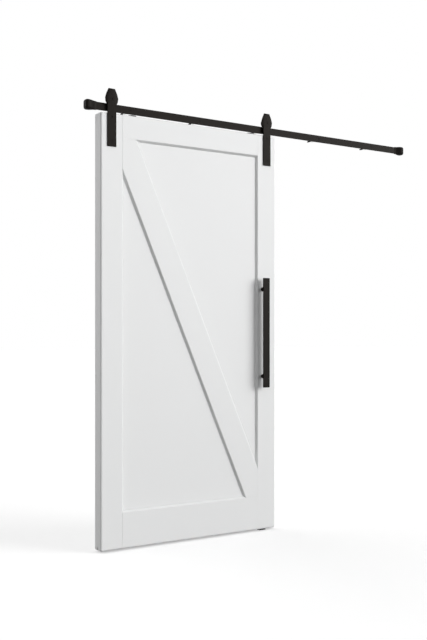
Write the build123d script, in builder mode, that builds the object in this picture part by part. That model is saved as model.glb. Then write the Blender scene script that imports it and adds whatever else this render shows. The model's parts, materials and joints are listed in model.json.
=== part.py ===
from build123d import *
import math
import os

# Sliding barn door on a flat track, all sizes in millimetres.
# X runs along the track to the right, Y towards the wall, Z up.
# The origin is on the middle lag bolt's axis, in the face of the wall.

# Door leaf
door_width = 1067.0
door_height = 2134.0
door_thickness = 66.0
door_edge_radius = 8.0
closed_inset = 73.0  # left edge of the closed door, from the left end of the track
wall_gap = 8.0  # back of the door to the wall
floor_gap = 8.0  # bottom of the door to the floor
stile_face = 118.0  # flat part of each stile, before its bevel
top_rail_face = 114.0
bottom_rail_face = 178.0
brace_face = 130.0
bevel_width = 10.0
bevel_depth = 11.0
groove_width = 12.0
groove_depth = 12.0
tongue_length = 11.0
tongue_play = 0.2  # taken off the tongue's thickness
panel_gap = 0.5
joint_groove = 0.8  # small vee along each painted joint

# Track
track_length = 2112.0
track_height = 38.0
track_thickness = 6.0
track_edge_radius = 0.8
track_setback = 9.0  # front of the door to the front of the track
track_gap = 8.0  # top of the door to the underside of the track
fixing_count = 5
fixing_spacing = 406.4
spacer_radius = 8.5
lag_shank_radius = 4.2
lag_thread_radius = 4.0
lag_thread_length = 34.0
lag_point_length = 8.0
lag_head_radius = 8.0
washer_thickness = 1.6
lag_washer_radius = 12.0
lag_tip_radius = 0.8
hole_clearance = 0.3
countersink_angle = 90.0

# End stops
stop_height = 49.0
stop_depth = 40.0
stop_block_length = 17.0
stop_flare_length = 45.0
stop_corner = 8.0
stop_end_wall = 8.0
sleeve_wall = 1.2
sleeve_corner = 0.6
track_play = 0.2  # between the track and the stop's pocket, all round
stop_screw_radius = 3.0
stop_screw_length = 14.0
stop_key_width = 3.0
stop_key_depth = 3.5

# Hangers
left_hanger_inset = 59.0
right_hanger_inset = 58.5
strap_width = 48.0
strap_thickness = 6.0
strap_drop = 164.0  # below the top of the door
strap_edge = 1.0
upper_bolt_drop = 19.0
lower_bolt_drop = 138.0
head_edge_thickness = 3.0
head_facet_depth = 5.0
head_facet_width = 11.0
head_half_widths = (17.5, 29.5, 36.0, 33.0)  # from the top of the spade down
head_levels = (52.0, 27.0, 5.0, -13.0)  # above the axle
head_neck_level = -31.0
strap_bolt_radius = 4.0
strap_bolt_length = 45.0
strap_bolt_head_radius = 8.0
strap_washer_radius = 13.0
barrel_radius = 5.0
barrel_length = 55.0
barrel_head_radius = 10.0
barrel_head_height = 2.5
barrel_bore_depth = 44.0
barrel_head_edge = 0.8
thread_play = 0.05

# Wheels
groove_radius = 20.0
flange_radius = 25.0
wheel_width = 14.0
wheel_groove_width = 7.0
flange_tip = 2.2
flange_edge = 0.6
wheel_lift = 0.2  # running gap over the track
wheel_lip = 2.0
axle_radius = 5.0
axle_head_radius = 10.0
axle_hex_width = 17.0
axle_nut_height = 8.0
axle_end = 2.0  # axle beyond its nut
axle_spacer_length = 4.0
nut_edge = 0.8
axle_sleeve_radius = 8.0
axle_play = 0.05
bearing_radius = 13.0
bearing_width = 8.0
race_wall = 2.4
shield_thickness = 0.6
shield_inset = 0.4  # from the bearing's faces
shield_play = 0.2  # between a shield and the inner ring

# Discs on the top edge that keep the wheels on the track
disc_radius = 25.0
disc_thickness = 6.0
disc_edge = 1.0
left_disc_inset = 188.5
right_disc_inset = 147.5
disc_screw_radius = 2.2
disc_screw_length = 30.0
disc_screw_head_radius = 4.5

# Pull handle
pull_length = 590.0
pull_width = 42.0
pull_thickness = 6.0
pull_corner = 4.0
pull_edge = 1.0
pull_inset = 85.5  # handle's centre line from the door's right edge
pull_middle = 1063.0  # handle's middle above the bottom of the door
pull_stand_off = 32.0
pull_post_spacing = 470.0
pull_post_radius = 8.0
pull_foot_radius = 11.0
pull_foot_height = 3.0
pull_spigot_radius = 4.0
pull_spigot_length = 4.0
pull_screw_radius = 3.0
pull_screw_reach = 20.0  # into the post
pull_screw_head_radius = 6.5
pull_screw_end_gap = 2.0
pull_foot_slope = 2.0

# Floor guide
guide_length = 44.0
guide_width = 40.0
guide_plate = 3.0
guide_inset = 74.0  # guide's middle from the right edge of the closed door
guide_fin_thickness = 5.0
guide_play = 0.6  # each side of the fin
guide_groove_depth = 18.0
guide_fin_reach = 12.0  # into the door's groove
guide_hole_radius = 2.2
guide_hole_spacing = 26.0
guide_head_radius = 4.2
guide_corner = 3.0

# Places that follow from the sizes
track_half = track_height / 2
door_back = -wall_gap
door_front = door_back - door_thickness
door_middle = (door_back + door_front) / 2
door_top = -track_half - track_gap
door_bottom = door_top - door_height
door_left = closed_inset - track_length / 2
door_right = door_left + door_width
floor_level = door_bottom - floor_gap
track_front = door_front + track_setback
track_back = track_front + track_thickness
track_middle = (track_front + track_back) / 2
panel_thickness = door_thickness - 2 * bevel_depth
stile_width = stile_face + bevel_width
top_rail_width = top_rail_face + bevel_width
bottom_rail_width = bottom_rail_face + bevel_width
brace_half = brace_face / 2 + bevel_width
opening_left = door_left + stile_width
opening_right = door_right - stile_width
opening_top = door_top - top_rail_width
opening_bottom = door_bottom + bottom_rail_width
opening_width = opening_right - opening_left
opening_height = opening_top - opening_bottom
opening_x = (opening_left + opening_right) / 2
opening_z = (opening_top + opening_bottom) / 2
brace_angle = math.atan2(opening_width, opening_height)
brace_normal = Vector(math.cos(brace_angle), math.sin(brace_angle), 0)
axle_level = track_half + groove_radius + wheel_lift
hanger_places = {"left": door_left + left_hanger_inset, "right": door_right - right_hanger_inset}
strap_bolt_levels = (door_top - upper_bolt_drop, door_top - lower_bolt_drop)
disc_places = {"left": door_left + left_disc_inset, "right": door_right - right_disc_inset}
pull_x = door_right - pull_inset
pull_z = door_bottom + pull_middle
pull_post_levels = {"upper": pull_z + pull_post_spacing / 2, "lower": pull_z - pull_post_spacing / 2}
guide_x = door_right - guide_inset
guide_groove_width = guide_fin_thickness + 2 * guide_play
fixing_places = [(i - (fixing_count - 1) / 2) * fixing_spacing for i in range(fixing_count)]
screw_slope = math.tan(math.radians(countersink_angle / 2))

rising = (Align.CENTER, Align.CENTER, Align.MIN)
hanging = (Align.CENTER, Align.CENTER, Align.MAX)
near = 0.01  # how close an edge has to lie to the place it is picked by

os.makedirs("parts", exist_ok=True)


def front_plane(x, y, z):
    """Plane facing the room: its own x runs right, its own y runs up, its normal towards the viewer."""
    return Plane(origin=(x, y, z), x_dir=(1, 0, 0), z_dir=(0, -1, 0))


def back_plane(x, y, z):
    """Plane facing the wall, with its own y running up."""
    return Plane(origin=(x, y, z), x_dir=(-1, 0, 0), z_dir=(0, 1, 0))


def save(builder, name):
    """Labels a finished piece and writes it."""
    builder.part.label = name
    export_step(builder.part, f"parts/{name}.step")


def end_plane(x, y, z, sign):
    """Plane across the track, its normal along X in the given sense."""
    return Plane(origin=(x, y, z), x_dir=(0, 1, 0), z_dir=(sign, 0, 0))


def turning_plane(x, y, z):
    """Plane for profiles turned about an axle: its own x is the radius, its own y runs along the axle."""
    return Plane(origin=(x, y, z), x_dir=(0, 0, 1), z_dir=(-1, 0, 0))


def hexagon(plane, width):
    """Hexagon of a bolt or nut, by its width across flats."""
    with BuildSketch(plane) as outline:
        RegularPolygon(radius=width / 2, side_count=6, major_radius=False)
    return outline.sketch


def spade_outline(plane, inset):
    """Outline of a hanger's head, drawn in with an inset for the face in front of its facets."""
    neck = axle_level + head_neck_level
    right_side = [(half, axle_level + level) for half, level in zip(head_half_widths, head_levels)]
    with BuildSketch(plane) as outline:
        with BuildLine():
            Polyline((0, right_side[0][1]), *right_side, (strap_width / 2, neck), (0, neck))
            mirror(about=Plane.YZ)
        make_face()
        if inset > 0:
            offset(amount=-inset, kind=Kind.INTERSECTION, mode=Mode.REPLACE)
    return outline.sketch


def stop_section(plane, depth, height, corner):
    """Section of an end stop: a rectangle with its corners cut off."""
    with BuildSketch(plane) as section:
        Rectangle(depth, height)
        chamfer(section.vertices(), corner)
    return section.sketch.face()


def countersunk_hole(face, radius, head_radius):
    """Hole through the piece being built, countersunk where it meets the face."""
    with Locations(face):
        CounterSinkHole(radius, head_radius + thread_play, counter_sink_angle=countersink_angle)


def flat_head_screw(face, radius, length, head_radius):
    """Countersunk screw in the current builder: its head is flush with the face."""
    head_height = (head_radius - radius) / screw_slope
    with Locations(face):
        Cylinder(radius, length, align=hanging)
        Cone(radius, head_radius, head_height, align=hanging)


def frame_section(plane, face):
    """Section of a stile or rail: its own x from the outer edge inwards, bevelled and grooved inside."""
    inner = face + bevel_width
    half = door_thickness / 2
    with BuildSketch(plane) as section:
        with BuildLine():
            Polyline(
                (0, -half),
                (face, -half),
                (inner, bevel_depth - half),
                (inner, half - bevel_depth),
                (face, half),
                (0, half),
                close=True,
            )
        make_face()
        with Locations((inner, 0)):
            Rectangle(2 * groove_depth, groove_width, mode=Mode.SUBTRACT)
    return section.sketch


def outside_edges(member, axis, outer):
    """Edges of a frame member that lie on the outside of the leaf, to be rounded."""
    edges = member.edges()
    side = edges.filter_by_position(axis, outer - near, outer + near)
    faces = edges.filter_by_position(Axis.Y, door_front - near, door_front + near)
    faces += edges.filter_by_position(Axis.Y, door_back - near, door_back + near)
    top = faces.filter_by_position(Axis.Z, door_top - near, door_top + near)
    bottom = faces.filter_by_position(Axis.Z, door_bottom - near, door_bottom + near)
    return side + top + bottom


# Small vees along the joints of the frame, on both faces of the leaf
vee_side = joint_groove * math.sqrt(2)

with BuildPart() as stile_vees:
    for x in (door_left + stile_face, door_right - stile_face):
        for y in (door_front, door_back):
            with Locations(Location((x, y, (door_top + door_bottom) / 2), (0, 0, 45))):
                Box(vee_side, vee_side, door_height)

with BuildPart() as rail_vees:
    for z in (door_top - top_rail_face, door_bottom + bottom_rail_face):
        for y in (door_front, door_back):
            with Locations(Location((opening_x, y, z), (45, 0, 0))):
                Box(opening_width + 2 * bevel_width, vee_side, vee_side)

# Groove along the bottom of the leaf, for the fin of the floor guide
with BuildPart() as guide_groove:
    with Locations((opening_x, door_middle, door_bottom)):
        Box(door_width + 2 * door_edge_radius, guide_groove_width, 2 * guide_groove_depth)

# Holes through the leaf for the hangers' barrel nuts and the screws of the pull handle
with BuildPart() as leaf_holes:
    for x in hanger_places.values():
        for level in strap_bolt_levels:
            with BuildSketch(back_plane(x, door_front, level)):
                Circle(barrel_radius + hole_clearance)
            extrude(amount=door_thickness)
    for level in pull_post_levels.values():
        with BuildSketch(back_plane(pull_x, door_front, level)):
            Circle(pull_screw_radius + hole_clearance)
        extrude(amount=door_thickness)
        with Locations(back_plane(pull_x, door_back, level)):
            Cone(
                pull_screw_radius + hole_clearance,
                pull_screw_head_radius + hole_clearance,
                (pull_screw_head_radius - pull_screw_radius) / screw_slope,
                align=hanging,
            )

# Stiles, full height
stiles = {}
for side, outer, inwards in (("left", door_left, 1), ("right", door_right, -1)):
    section_plane = Plane(origin=(outer, door_middle, door_bottom), x_dir=(inwards, 0, 0), z_dir=(0, 0, 1))
    with BuildPart() as stile:
        extrude(frame_section(section_plane, stile_face), amount=door_height)
        fillet(outside_edges(stile, Axis.X, outer), door_edge_radius)
        add(guide_groove.part, mode=Mode.SUBTRACT)
        add(leaf_holes.part, mode=Mode.SUBTRACT)
    stiles[side] = stile
    save(stile, f"{side}_stile")

# Rails, their ends coped over the stiles' bevels and tenoned into the grooves
rails = {}
rail_places = (("top", door_top, top_rail_face, -1), ("bottom", door_bottom, bottom_rail_face, 1))
for side, outer, face, inwards in rail_places:
    rail_start = opening_left - groove_depth
    section_plane = Plane(origin=(rail_start, door_middle, outer), x_dir=(0, 0, inwards), z_dir=(1, 0, 0))
    with BuildPart() as rail:
        extrude(frame_section(section_plane, face), amount=opening_width + 2 * groove_depth)
        corners = rail.edges().filter_by(Axis.X).filter_by_position(Axis.Z, outer - near, outer + near)
        fillet(corners, door_edge_radius)
        add(stiles["left"].part, mode=Mode.SUBTRACT)
        add(stiles["right"].part, mode=Mode.SUBTRACT)
        add(stile_vees.part, mode=Mode.SUBTRACT)
        add(guide_groove.part, mode=Mode.SUBTRACT)
    rails[side] = rail

# Holes in the top rail for the screws of the anti-jump discs
with BuildPart() as top_rail:
    add(rails["top"].part)
    for x in disc_places.values():
        with Locations((x, door_middle, door_top)):
            Hole(disc_screw_radius + thread_play, disc_screw_length)
save(top_rail, "top_rail")
save(rails["bottom"], "bottom_rail")

# Diagonal brace, from corner to corner of the opening, coped over the frame at both ends
brace_reach = math.hypot(opening_width, opening_height) + 2 * brace_half
brace_x_dir = Vector(math.cos(brace_angle), 0, math.sin(brace_angle))
brace_z_dir = Vector(math.sin(brace_angle), 0, -math.cos(brace_angle))
brace_plane = Plane(origin=(opening_x, door_middle, opening_z), x_dir=brace_x_dir, z_dir=brace_z_dir)
with BuildPart() as diagonal_brace:
    with BuildSketch(brace_plane):
        with BuildLine():
            Polyline(
                (0, -door_thickness / 2),
                (brace_face / 2, -door_thickness / 2),
                (brace_half, bevel_depth - door_thickness / 2),
                (brace_half, 0),
            )
            mirror(about=Plane.XZ)
            mirror(about=Plane.YZ)
        make_face()
        with Locations((-brace_half, 0), (brace_half, 0)):
            Rectangle(2 * groove_depth, groove_width, mode=Mode.SUBTRACT)
    extrude(amount=brace_reach / 2, both=True)
    with Locations((opening_x, door_middle, opening_z)):
        Box(
            opening_width + 2 * groove_depth,
            door_thickness,
            opening_height + 2 * groove_depth,
            mode=Mode.INTERSECT,
        )
    for member in (*stiles.values(), *rails.values()):
        add(member.part, mode=Mode.SUBTRACT)
    add(stile_vees.part, mode=Mode.SUBTRACT)
    add(rail_vees.part, mode=Mode.SUBTRACT)
save(diagonal_brace, "diagonal_brace")


def panel_layer(towards, grow):
    """Outline of one layer of a panel: the opening grown by a margin and cut along the brace."""
    cut = brace_normal * towards
    with BuildSketch(front_plane(opening_x, door_middle, opening_z)) as layer:
        Rectangle(opening_width + 2 * grow, opening_height + 2 * grow)
        split(bisect_by=Plane(origin=cut * (brace_half - grow), z_dir=cut), keep=Keep.TOP)
    return layer.sketch


# Panels, one on each side of the brace, with a tongue all round
for name, towards in (("lower_panel", -1), ("upper_panel", 1)):
    with BuildPart() as panel:
        extrude(panel_layer(towards, -panel_gap), amount=panel_thickness / 2, both=True)
        extrude(panel_layer(towards, tongue_length), amount=(groove_width - tongue_play) / 2, both=True)
    save(panel, name)

# Discs on the top edge of the leaf, each under the track and held by one screw
for side, x in disc_places.items():
    with BuildPart() as disc:
        with BuildSketch(Plane((x, door_middle, door_top))):
            Circle(disc_radius)
        extrude(amount=disc_thickness)
        chamfer(disc.faces().sort_by(Axis.Z)[-1].edges(), disc_edge)
        disc_face = Plane((x, door_middle, door_top + disc_thickness))
        countersunk_hole(disc_face, disc_screw_radius + thread_play, disc_screw_head_radius)
    save(disc, f"{side}_anti_jump_disc")

with BuildPart() as anti_jump_screws:
    for x in disc_places.values():
        flat_head_screw(
            Plane((x, door_middle, door_top + disc_thickness)),
            disc_screw_radius,
            disc_screw_length,
            disc_screw_head_radius,
        )
save(anti_jump_screws, "anti_jump_screws")

# Hangers: a flat strap on the face of the leaf, with a faceted spade for a head, and the axle through it
strap_bottom = door_top - strap_drop
strap_front = door_front - strap_thickness
head_front = door_front - head_edge_thickness - head_facet_depth
bearing_front = track_middle - bearing_width / 2
bearing_back = track_middle + bearing_width / 2
nut_front = bearing_back + axle_spacer_length
nut_back = nut_front + axle_nut_height
barrel_seat = door_back + washer_thickness
barrel_mouth = door_back - barrel_length
axle_bore = axle_radius + axle_play
outer_race = bearing_radius - race_wall
inner_race = axle_bore + race_wall

for side, x in hanger_places.items():
    with BuildPart() as strap:
        with BuildSketch(front_plane(x, door_front, 0)):
            with Locations((0, strap_bottom)):
                Rectangle(strap_width, axle_level - strap_bottom, align=(Align.CENTER, Align.MIN))
        extrude(amount=strap_thickness)
        long_edges = strap.edges().filter_by(Axis.Z).group_by(Axis.Y)[0]
        low_edge = strap.edges().filter_by(Axis.X).group_by(Axis.Y)[0].sort_by(Axis.Z)[0]
        chamfer([*long_edges, low_edge], strap_edge)
        extrude(spade_outline(front_plane(x, door_front, 0), 0), amount=head_edge_thickness)
        loft(
            [
                spade_outline(front_plane(x, door_front - head_edge_thickness, 0), 0).face(),
                spade_outline(front_plane(x, head_front, 0), head_facet_width).face(),
            ],
            ruled=True,
        )
        for level in strap_bolt_levels:
            bolt_face = front_plane(x, strap_front, level)
            countersunk_hole(bolt_face, strap_bolt_radius + hole_clearance, strap_bolt_head_radius)
        countersunk_hole(front_plane(x, head_front, axle_level), axle_bore, axle_head_radius)
    save(strap, f"{side}_hanger_strap")

    with BuildPart() as strap_washers:
        for level in strap_bolt_levels:
            with BuildSketch(back_plane(x, door_back, level)):
                Circle(strap_washer_radius)
                Circle(barrel_radius + hole_clearance, mode=Mode.SUBTRACT)
            extrude(amount=washer_thickness)
    save(strap_washers, f"{side}_strap_washers")

    with BuildPart() as strap_bolts:
        for level in strap_bolt_levels:
            bolt_face = front_plane(x, strap_front, level)
            flat_head_screw(bolt_face, strap_bolt_radius, strap_bolt_length, strap_bolt_head_radius)
    save(strap_bolts, f"{side}_strap_bolts")

    with BuildPart() as barrel_nuts:
        for level in strap_bolt_levels:
            with Locations(back_plane(x, barrel_seat, level)):
                Cylinder(barrel_head_radius, barrel_head_height, align=rising)
                Cylinder(barrel_radius, barrel_seat - barrel_mouth, align=hanging)
            with Locations(front_plane(x, barrel_mouth, level)):
                Hole(strap_bolt_radius + thread_play, barrel_bore_depth)
        chamfer(barrel_nuts.faces().group_by(Axis.Y)[-1].edges(), barrel_head_edge)
    save(barrel_nuts, f"{side}_barrel_nuts")

    axle_length = nut_back + axle_end - head_front
    with BuildPart() as axle_bolt:
        flat_head_screw(front_plane(x, head_front, axle_level), axle_radius, axle_length, axle_head_radius)
    save(axle_bolt, f"{side}_axle_bolt")

    for name, front, back in (
        ("axle_sleeve", door_front, bearing_front),
        ("axle_spacer", bearing_back, nut_front),
    ):
        with BuildPart() as sleeve:
            with BuildSketch(back_plane(x, front, axle_level)):
                Circle(axle_sleeve_radius)
                Circle(axle_bore, mode=Mode.SUBTRACT)
            extrude(amount=back - front)
        save(sleeve, f"{side}_{name}")

    with BuildPart() as axle_nut:
        extrude(hexagon(back_plane(x, nut_front, axle_level), axle_hex_width), amount=axle_nut_height)
        chamfer(axle_nut.faces().sort_by(Axis.Y)[-1].edges(), nut_edge)
        with Locations(back_plane(x, nut_back, axle_level)):
            Hole(axle_radius + thread_play, axle_nut_height)
    save(axle_nut, f"{side}_axle_nut")

    # Grooved wheel, its flanges hanging over both sides of the track
    axle = Axis((x, 0, axle_level), (0, 1, 0))
    half = wheel_width / 2
    profile_plane = turning_plane(x, track_middle, axle_level)
    with BuildPart() as wheel:
        with BuildSketch(profile_plane):
            with BuildLine():
                Polyline(
                    (bearing_radius - wheel_lip, -half),
                    (flange_radius, -half),
                    (flange_radius, flange_tip - half),
                    (groove_radius, -wheel_groove_width / 2),
                    (groove_radius, wheel_groove_width / 2),
                    (flange_radius, half - flange_tip),
                    (flange_radius, half),
                    (bearing_radius, half),
                    (bearing_radius, -bearing_width / 2),
                    (bearing_radius - wheel_lip, -bearing_width / 2),
                    close=True,
                )
            make_face()
        revolve(axis=axle)
        rims = wheel.edges().filter_by(GeomType.CIRCLE)
        chamfer(rims.filter_by(lambda rim: rim.radius > flange_radius - near), flange_edge)
    save(wheel, f"{side}_wheel")

    # Sealed bearing: two rings, and a shield over each side of the space between them
    for name, low, high in (
        ("bearing_outer_ring", outer_race, bearing_radius),
        ("bearing_inner_ring", axle_bore, inner_race),
    ):
        with BuildPart() as ring:
            with BuildSketch(back_plane(x, bearing_front, axle_level)):
                Circle(high)
                Circle(low, mode=Mode.SUBTRACT)
            extrude(amount=bearing_width)
        save(ring, f"{side}_{name}")

    with BuildPart() as shields:
        for front in (bearing_front + shield_inset, bearing_back - shield_inset - shield_thickness):
            with BuildSketch(back_plane(x, front, axle_level)):
                Circle(outer_race)
                Circle(inner_race + shield_play, mode=Mode.SUBTRACT)
            extrude(amount=shield_thickness)
    save(shields, f"{side}_bearing_shields")

# Pull handle: a flat bar on two posts, screwed through the leaf from behind
bar_back = door_front - pull_stand_off
with BuildPart() as pull_bar:
    with BuildSketch(front_plane(pull_x, bar_back, pull_z)):
        RectangleRounded(pull_width, pull_length, pull_corner)
    extrude(amount=pull_thickness)
    chamfer(pull_bar.faces().sort_by(Axis.Y)[0].edges(), pull_edge)
    for level in pull_post_levels.values():
        with Locations(back_plane(pull_x, bar_back, level)):
            Hole(pull_spigot_radius + thread_play, pull_spigot_length + thread_play)
save(pull_bar, "pull_bar")

for name, level in pull_post_levels.items():
    with BuildPart() as post:
        with BuildSketch(turning_plane(pull_x, door_front, level)):
            with BuildLine():
                Polyline(
                    (0, 0),
                    (pull_foot_radius, 0),
                    (pull_foot_radius, -pull_foot_height),
                    (pull_post_radius, -pull_foot_height - pull_foot_slope),
                    (pull_post_radius, -pull_stand_off),
                    (pull_spigot_radius, -pull_stand_off),
                    (pull_spigot_radius, -pull_stand_off - pull_spigot_length),
                    (0, -pull_stand_off - pull_spigot_length),
                    close=True,
                )
            make_face()
        revolve(axis=Axis((pull_x, 0, level), (0, 1, 0)))
        with Locations(back_plane(pull_x, door_front, level)):
            Hole(pull_screw_radius + thread_play, pull_screw_reach + pull_screw_end_gap)
    save(post, f"{name}_pull_post")

with BuildPart() as pull_screws:
    for level in pull_post_levels.values():
        flat_head_screw(
            back_plane(pull_x, door_back, level),
            pull_screw_radius,
            door_thickness + pull_screw_reach,
            pull_screw_head_radius,
        )
save(pull_screws, "pull_screws")

# Track: a flat bar on edge, with a hole for each lag bolt
with BuildPart() as track:
    with Locations((0, track_middle, 0)):
        Box(track_length, track_thickness, track_height)
    fillet(track.edges().filter_by(Axis.X), track_edge_radius)
    for x in fixing_places:
        countersunk_hole(front_plane(x, track_front, 0), lag_shank_radius + hole_clearance, lag_head_radius)
save(track, "track")

# End stops: a block that flares out of a short sleeve over the end of the track
for side, sign in (("left", -1), ("right", 1)):
    block_end = sign * (track_length / 2 + stop_end_wall)
    block_start = block_end - sign * stop_block_length
    flare_start = block_start - sign * stop_flare_length
    sleeve_depth = track_thickness + 2 * (sleeve_wall + track_play)
    sleeve_height = track_height + 2 * (sleeve_wall + track_play)
    flare_plane = end_plane(flare_start, track_middle, 0, sign)
    block_plane = end_plane(block_start, track_middle, 0, sign)
    sleeve_mouth = stop_section(flare_plane, sleeve_depth, sleeve_height, sleeve_corner)
    block = stop_section(block_plane, stop_depth, stop_height, stop_corner)
    with BuildPart() as stop:
        loft([sleeve_mouth, block], ruled=True)
        extrude(block, amount=stop_block_length)
        chamfer(stop.faces().sort_by(Axis.X)[-1 if sign > 0 else 0].edges(), stop_corner)
        with Locations((sign * track_length / 4, track_middle, 0)):
            Box(
                track_length / 2,
                track_thickness + 2 * track_play,
                track_height + 2 * track_play,
                mode=Mode.SUBTRACT,
            )
        stop_back = track_middle + stop_depth / 2
        screw_x = (block_start + block_end - sign * stop_corner) / 2
        with Locations(back_plane(screw_x, stop_back, 0)):
            Hole(stop_screw_radius + thread_play, stop_back - track_back)
    save(stop, f"{side}_end_stop")

    key = hexagon(back_plane(screw_x, track_back + stop_screw_length, 0), stop_key_width)
    with BuildPart() as stop_screw:
        with BuildSketch(back_plane(screw_x, track_back, 0)):
            Circle(stop_screw_radius)
        extrude(amount=stop_screw_length)
        extrude(key, amount=-stop_key_depth, mode=Mode.SUBTRACT)
    save(stop_screw, f"{side}_stop_screw")

# Spacers that hold the track off the wall, so that the leaf runs clear of it
spacer_front = track_back + washer_thickness
for number, x in enumerate(fixing_places, start=1):
    with BuildPart() as spacer:
        with BuildSketch(back_plane(x, spacer_front, 0)):
            Circle(spacer_radius)
            Circle(lag_shank_radius + hole_clearance, mode=Mode.SUBTRACT)
        extrude(amount=-spacer_front)
    save(spacer, f"wall_spacer_{number}")

# Washers between the track and its spacers
with BuildPart() as lag_washers:
    for x in fixing_places:
        with BuildSketch(back_plane(x, track_back, 0)):
            Circle(lag_washer_radius)
            Circle(lag_shank_radius + hole_clearance, mode=Mode.SUBTRACT)
        extrude(amount=washer_thickness)
save(lag_washers, "lag_washers")

# Lag bolts through the track and the spacers, their threaded ends standing out of the wall's face
with BuildPart() as lag_bolts:
    for x in fixing_places:
        flat_head_screw(front_plane(x, track_front, 0), lag_shank_radius, -track_front, lag_head_radius)
        with Locations(back_plane(x, 0, 0)):
            Cylinder(lag_thread_radius, lag_thread_length, align=rising)
        with Locations(back_plane(x, lag_thread_length, 0)):
            Cone(lag_thread_radius, lag_tip_radius, lag_point_length, align=rising)
save(lag_bolts, "lag_bolts")

# Floor guide: a tee whose fin runs in the groove under the leaf
with BuildPart() as floor_guide:
    with BuildSketch(Plane((guide_x, door_middle, floor_level))):
        RectangleRounded(guide_length, guide_width, guide_corner)
    extrude(amount=guide_plate)
    with Locations((guide_x, door_middle, floor_level + guide_plate)):
        Box(guide_length, guide_fin_thickness, floor_gap - guide_plate + guide_fin_reach, align=rising)
    for y in (door_middle - guide_hole_spacing / 2, door_middle + guide_hole_spacing / 2):
        with Locations((guide_x, y, floor_level + guide_plate)):
            CounterSinkHole(
                guide_hole_radius,
                guide_head_radius,
                depth=guide_plate,
                counter_sink_angle=countersink_angle,
            )
save(floor_guide, "floor_guide")
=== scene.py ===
"""Sliding barn door on its wall track: finishes, turned and threaded hardware, floor, lights and camera."""

import json
import math

import bmesh
import bpy
from mathutils import Matrix, Vector


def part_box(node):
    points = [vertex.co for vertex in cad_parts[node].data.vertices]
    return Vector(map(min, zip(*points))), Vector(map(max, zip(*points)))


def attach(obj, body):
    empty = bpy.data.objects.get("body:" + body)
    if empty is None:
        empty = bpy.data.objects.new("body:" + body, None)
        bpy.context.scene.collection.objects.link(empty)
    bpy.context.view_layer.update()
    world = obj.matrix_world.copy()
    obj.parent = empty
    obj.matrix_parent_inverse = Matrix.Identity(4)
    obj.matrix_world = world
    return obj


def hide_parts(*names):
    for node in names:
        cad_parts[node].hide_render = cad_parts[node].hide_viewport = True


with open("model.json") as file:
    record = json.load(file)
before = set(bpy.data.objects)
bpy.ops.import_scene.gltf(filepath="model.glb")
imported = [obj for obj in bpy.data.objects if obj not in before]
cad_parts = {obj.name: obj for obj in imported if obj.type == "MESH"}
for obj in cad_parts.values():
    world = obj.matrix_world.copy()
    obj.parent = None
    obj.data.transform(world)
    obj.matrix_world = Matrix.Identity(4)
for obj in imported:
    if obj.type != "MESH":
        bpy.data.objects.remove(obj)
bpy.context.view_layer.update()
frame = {"nodes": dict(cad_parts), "record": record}

bl_info = {
    "name": "Sliding barn door",
    "version": (1, 0, 0),
    "blender": (4, 5, 0),
    "location": "3D View > Sidebar > Barn Door",
    "description": "Dresses a sliding barn door in paint, powder coat, turned wheels and threaded bolts",
    "category": "Object",
}

MM = 0.001  # forms are made in millimetres, pieces and finishes in metres
ROUND = 48  # segments round a turned, hexagonal or crossed form
THREAD_STEPS = 24  # steps in one turn of a thread
WELD = 0.002  # how near two points have to lie to be one, in millimetres
SHARP = math.radians(35)  # above this, an edge stays crisp in the shading
EDGE_SAMPLES = 6  # rays that look for an edge round a shaded point of the paint
EASED = math.radians(28)  # above this, an outward edge is rounded
FLAT = math.radians(0.5)  # below this, two faces are one
RING_WAVES = 620.0  # scale of the wave that draws turning rings half a millimetre apart
SIDES = {"left": -1, "right": 1}
LEAF_GRAIN = {
    "left_stile": "upright",
    "right_stile": "upright",
    "top_rail": "across",
    "bottom_rail": "across",
    "diagonal_brace": "brace",
    "lower_panel": "upright",
    "upper_panel": "upright",
}

# Sizes that the frame's boxes don't give, in millimetres, with round ones as radii
PLAY = 0.05  # between a shank and its bore
RING_PLAY = 0.3  # between a bolt and the ring round it
TRACK_PLAY = 0.2  # between the track and a stop's pocket
STOP_MOUTH_WALL = 1.4
STOP_FLARE = 45.0
STOP_CORNER = 13.0
STOP_NOSE = 11.0
FLARE_STEPS = 14  # outlines over a stop's flare
NOSE_STEPS = 5  # outlines round a stop's nose
GRUB_KEY = 3.0  # keys and their sockets go by the width across flats
GRUB_KEY_DEPTH = 3.5
BOLT_KEY = 5.0
LAG_KEY_DEPTH = 2.6
STRAP_KEY_DEPTH = 2.8
BARREL_KEY_DEPTH = 2.0
AXLE_KEY = 6.0
AXLE_KEY_DEPTH = 4.0
HEAD_LIP = 0.3
LAG_SHANK = 4.2
LAG_THREAD = 4.0
LAG_POINT = 8.0
LAG_TIP = 0.2  # share of the thread's radius that is left at the tip
STRAP_BOLT = 4.0
BARREL = 5.0
BARREL_BORE = 44.0
AXLE = 5.0
AXLE_POINT = 1.0
AXLE_TIP = 0.8
NUT_COLLAR = 2.2  # height of a lock nut's round collar
NUT_CHAMFER = 0.9
RACE = 2.4
SHIELD_PLAY = 0.2
WHEEL_LIP = 2.0
WHEEL_DISH = 1.0
HUB_LAND = 2.0  # flat ring round the bearing's seat
HUB_SLOPE = 2.8  # from the seat to the dished face
RIM_SLOPE = 4.2  # from the flange's edge to the dished face
RIM_LAND = 3.4  # flat ring inside the flange's edge
WHEEL_GROOVE = 20.0
WHEEL_GROOVE_WIDTH = 7.0
FLANGE_TIP = 2.2
DISC_CHAMFER = 1.0
DISC_SCREW = 2.2
DISC_CROSS = (2.3, 0.4)  # a cross recess goes by its reach and half its arm
DISC_CROSS_DEPTH = 1.8
PULL_SCREW = 3.0
PULL_CROSS = (3.4, 0.55)
PULL_CROSS_DEPTH = 2.4
POST = 8.0
SPIGOT = 4.0
SPIGOT_LENGTH = 4.0
POST_BORE = 22.0

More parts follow.
